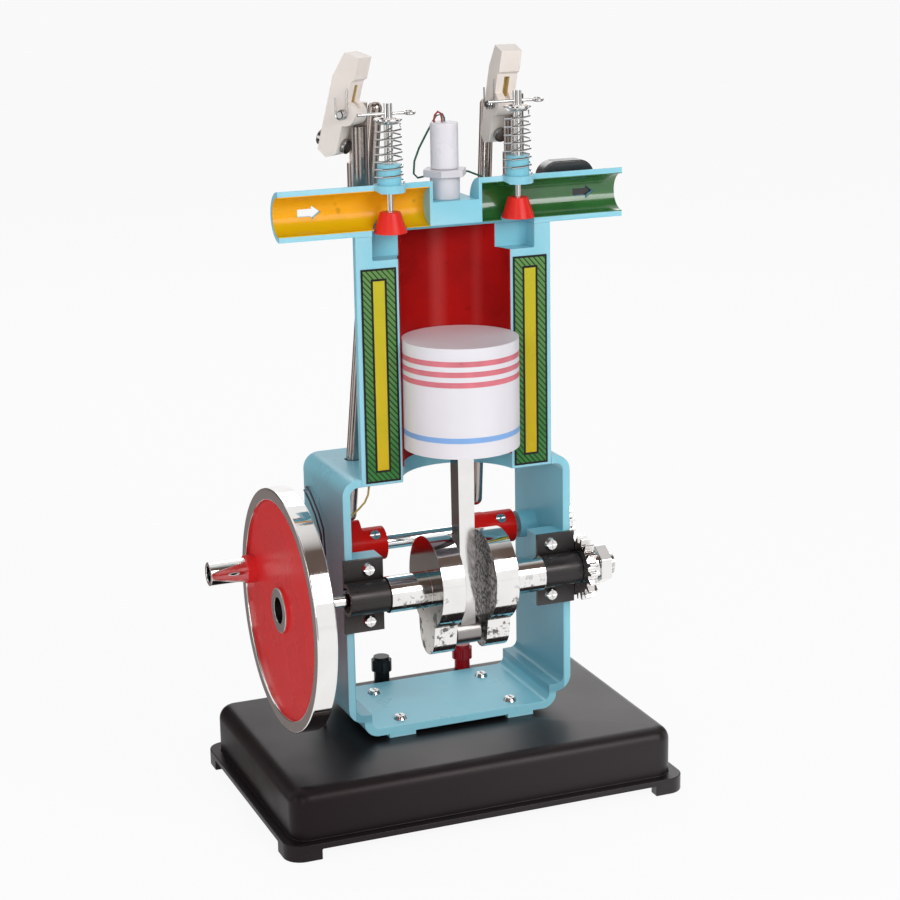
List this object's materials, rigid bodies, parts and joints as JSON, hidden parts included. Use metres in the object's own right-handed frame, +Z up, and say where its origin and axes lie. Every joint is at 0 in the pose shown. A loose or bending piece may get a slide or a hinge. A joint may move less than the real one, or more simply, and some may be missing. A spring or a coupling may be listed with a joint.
{
  "type": "four-stroke engine classroom model",
  "caption": "Cut-away four-stroke engine model on a plinth: flywheel with crank handle, gear-driven camshaft, piston in an open bore, sprung valves and rockers.",
  "frame": {"origin": "middle of the bounding box on the table", "axes": "+X along the crankshaft to the gear side, +Y to the back, +Z up"},
  "size_m": [0.218, 0.153, 0.3693],
  "materials": {
    "charcoal": "satin black",
    "casting_blue": "gloss enamel",
    "bore_red": "gloss enamel",
    "intake_yellow": "gloss enamel",
    "exhaust_green": "gloss enamel",
    "label": "printed film",
    "chrome": "polished",
    "polished_plate": "dark polish",
    "milky_plastic": "milky",
    "lead_red": "matt",
    "lead_green": "matt",
    "lead_dark": "matt",
    "lead_tan": "matt",
    "strap_black": "satin",
    "dark_neck": "satin",
    "wheel_red": "gloss enamel",
    "handle_grey": "polished",
    "cam_red": "gloss enamel",
    "piston_white": "satin",
    "ring_pink": "satin",
    "ring_blue": "satin",
    "valve_red": "gloss",
    "rocker_cream": "matt",
    "screw_steel": "plated",
    "knob_black": "gloss",
    "knob_red": "gloss"
  },
  "bodies": {
    "stand": {"base_plinth": "charcoal", "crankcase_frame": "casting_blue", "cylinder_block": "casting_blue", "cylinder_lining": "bore_red", "cylinder_head": "casting_blue", "intake_lining": "intake_yellow", "exhaust_lining": "exhaust_green", "jacket_label_left": "label", "jacket_label_right": "label", "arrow_cover": "polished_plate", "plug_body": "milky_plastic", "plug_cap": "milky_plastic", "plug_red_lead": "lead_red", "plug_green_lead": "lead_green", "rocker_post_left": "chrome", "rocker_post_right": "chrome", "rocker_pins": "chrome", "torsion_springs": "chrome", "bearing_strap_left": "strap_black", "bearing_strap_right": "strap_black", "frame_screws": "screw_steel", "terminal_studs": "dark_neck", "wall_leads": "lead_dark", "tan_lead": "lead_tan", "intake_spring": "chrome", "exhaust_spring": "chrome"},
    "crank": {"flywheel_rim": "chrome", "flywheel_disc": "wheel_red", "flywheel_hub": "chrome", "crank_handle": "handle_grey", "crankshaft": "chrome", "crank_gear": "chrome", "crank_nut": "chrome"},
    "cam": {"camshaft": "chrome", "intake_cam": "cam_red", "exhaust_cam": "cam_red", "cam_screws": "screw_steel", "cam_gear": "chrome"},
    "piston": {"piston": "piston_white", "compression_rings": "ring_pink", "oil_ring": "ring_blue", "wrist_pin": "chrome"},
    "rod": {"connecting_rod": "chrome", "crank_pin": "chrome"},
    "intake_valve": {"intake_valve": "chrome", "intake_cone": "valve_red", "intake_retainer": "chrome", "intake_cotter": "chrome"},
    "exhaust_valve": {"exhaust_valve": "chrome", "exhaust_cone": "valve_red", "exhaust_retainer": "chrome", "exhaust_cotter": "chrome"},
    "intake_pushrod": {"intake_pushrod": "chrome"},
    "exhaust_pushrod": {"exhaust_pushrod": "chrome"},
    "rocker_left": {"rocker_left": "rocker_cream", "adjuster_left": "screw_steel"},
    "rocker_right": {"rocker_right": "rocker_cream", "adjuster_right": "screw_steel"},
    "knob_black": {"terminal_knob_black": "knob_black"},
    "knob_red": {"terminal_knob_red": "knob_red"}
  },
  "joints": [
    {"name": "crank_turn", "type": "hinge", "parent": "stand", "child": "crank", "pos_m": [0.0085, -0.0175, 0.11], "axis": [1, 0, 0], "continuous": true},
    {"name": "cam_turn", "type": "hinge", "parent": "stand", "child": "cam", "pos_m": [0.0085, 0.0257, 0.1226], "axis": [1, 0, 0], "continuous": true},
    {"name": "piston_slide", "type": "slide", "parent": "stand", "child": "piston", "axis": [0, 0, 1], "range_m": [0, 0.048]},
    {"name": "rod_swing", "type": "hinge", "parent": "piston", "child": "rod", "pos_m": [0.0085, -0.0175, 0.195], "axis": [1, 0, 0], "range_deg": [-12.72, 12.72]},
    {"name": "intake_valve_slide", "type": "slide", "parent": "stand", "child": "intake_valve", "axis": [0, 0, 1], "range_m": [-0.0035, 0], "stiffness_N_per_m": 300, "springref_m": 0.003, "deforming": ["intake_spring"]},
    {"name": "exhaust_valve_slide", "type": "slide", "parent": "stand", "child": "exhaust_valve", "axis": [0, 0, 1], "range_m": [-0.0035, 0], "stiffness_N_per_m": 300, "springref_m": 0.003, "deforming": ["exhaust_spring"]},
    {"name": "intake_pushrod_slide", "type": "slide", "parent": "stand", "child": "intake_pushrod", "axis": [0.0968, 0.0089, 0.9953], "range_m": [0, 0.004]},
    {"name": "exhaust_pushrod_slide", "type": "slide", "parent": "stand", "child": "exhaust_pushrod", "axis": [0.0643, 0.0442, 0.997], "range_m": [0, 0.004]},
    {"name": "rocker_left_turn", "type": "hinge", "parent": "stand", "child": "rocker_left", "pos_m": [-0.0321, 0.0072, 0.341], "axis": [0.809, 0.5878, 0], "range_deg": [-5, 51]},
    {"name": "rocker_right_turn", "type": "hinge", "parent": "stand", "child": "rocker_right", "pos_m": [0.0479, 0.0072, 0.341], "axis": [1, 0.0087, 0], "range_deg": [-5, 40]},
    {"name": "knob_black_turn", "type": "hinge", "parent": "stand", "child": "knob_black", "pos_m": [-0.0085, 0.0585, 0.049], "axis": [0, 0, 1], "range_deg": [0, 720]},
    {"name": "knob_red_turn", "type": "hinge", "parent": "stand", "child": "knob_red", "pos_m": [0.0375, 0.0585, 0.043], "axis": [0, 0, 1], "range_deg": [0, 720]}
  ],
  "couplings": [
    {"joint": "cam_turn", "follows": "crank_turn", "ratio": -0.5}
  ]
}
